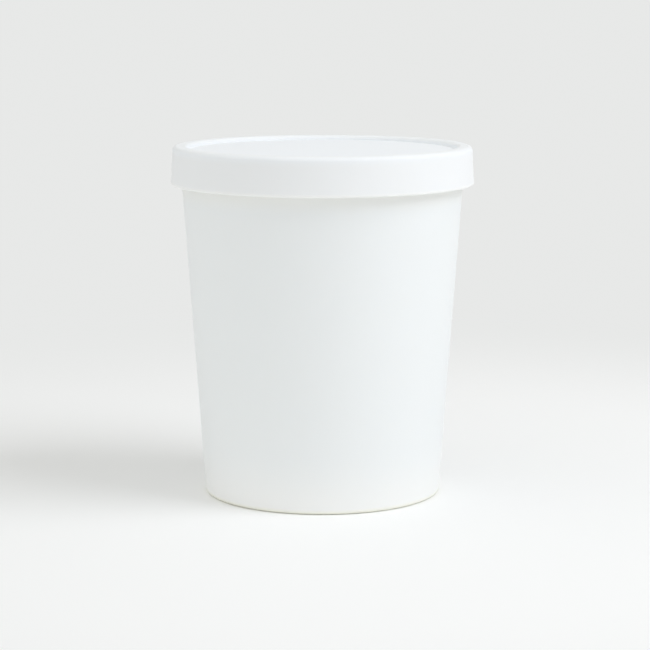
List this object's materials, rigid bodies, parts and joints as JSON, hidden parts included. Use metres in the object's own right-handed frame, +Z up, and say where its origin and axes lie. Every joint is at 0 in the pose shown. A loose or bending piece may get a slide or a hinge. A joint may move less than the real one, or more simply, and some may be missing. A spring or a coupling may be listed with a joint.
{
  "type": "ice cream tub",
  "caption": "Shut ice cream tub: round tapered plastic tub with a hollowed foot, and a press-on lid with a raised crest round a sunken panel and a skirt with a hem.",
  "frame": {"origin": "centre of the flat ring that the tub stands on, on the axis of the tub", "axes": "+Z up along the axis, from the foot to the lid; the part is turned about Z, so X and Y carry no feature"},
  "size_m": [0.118, 0.118, 0.1366],
  "materials": {
    "tub_plastic": "satin white moulded polypropylene",
    "lid_plastic": "satin white moulded polypropylene, a little bluer than the tub"
  },
  "bodies": {
    "root": {"tub": "tub_plastic", "lid": "lid_plastic"}
  },
  "joints": []
}
